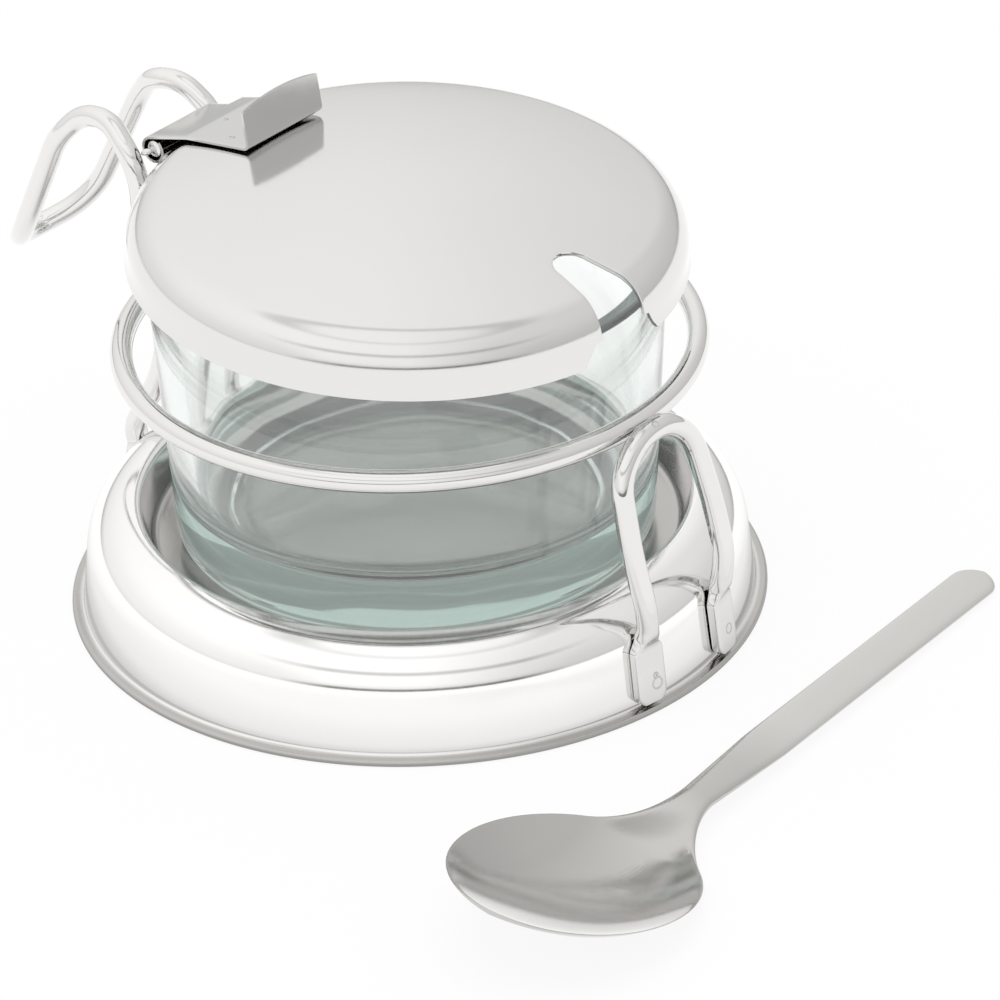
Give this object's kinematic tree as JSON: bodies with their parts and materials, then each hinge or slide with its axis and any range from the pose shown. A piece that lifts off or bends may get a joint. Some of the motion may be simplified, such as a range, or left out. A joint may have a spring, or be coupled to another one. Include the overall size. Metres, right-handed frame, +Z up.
{
  "type": "condiment server",
  "caption": "Lidded glass condiment server on a round pressed base, with a guard ring, a bent wire handle, a hinged dome lid with a spoon notch, and a spoon.",
  "frame": {"origin": "centre of the base's underside, on the table", "axes": "+Z up, -Y towards the spoon notch and the front bracket, +Y towards the handle"},
  "size_m": [0.169, 0.2247, 0.0985],
  "materials": {
    "polished_steel": "polished stainless steel",
    "satin_steel": "satin stainless steel sheet",
    "clear_glass": "clear pressed glass, faintly green where thick"
  },
  "bodies": {
    "stand": {"base_stand": "polished_steel", "guard_ring": "polished_steel", "front_bracket": "polished_steel", "handle_frame": "polished_steel", "hinge_pin": "polished_steel"},
    "bowl": {"glass_bowl": "clear_glass"},
    "lid": {"lid_cover": "satin_steel", "thumb_plate": "satin_steel"},
    "spoon_body": {"spoon": "satin_steel"}
  },
  "joints": [
    {"name": "lid_hinge", "type": "hinge", "parent": "stand", "child": "lid", "pos_m": [-0.0012, 0.0553, 0.0821], "axis": [-1, 0, 0], "range_deg": [0, 105]},
    {"name": "bowl_turn", "type": "hinge", "parent": "stand", "child": "bowl", "pos_m": [0, 0, 0.0144], "axis": [0, 0, 1], "continuous": true},
    {"name": "spoon_lift", "type": "slide", "parent": "stand", "child": "spoon_body", "axis": [0, 0, 1], "range_m": [0, 0.12]}
  ]
}
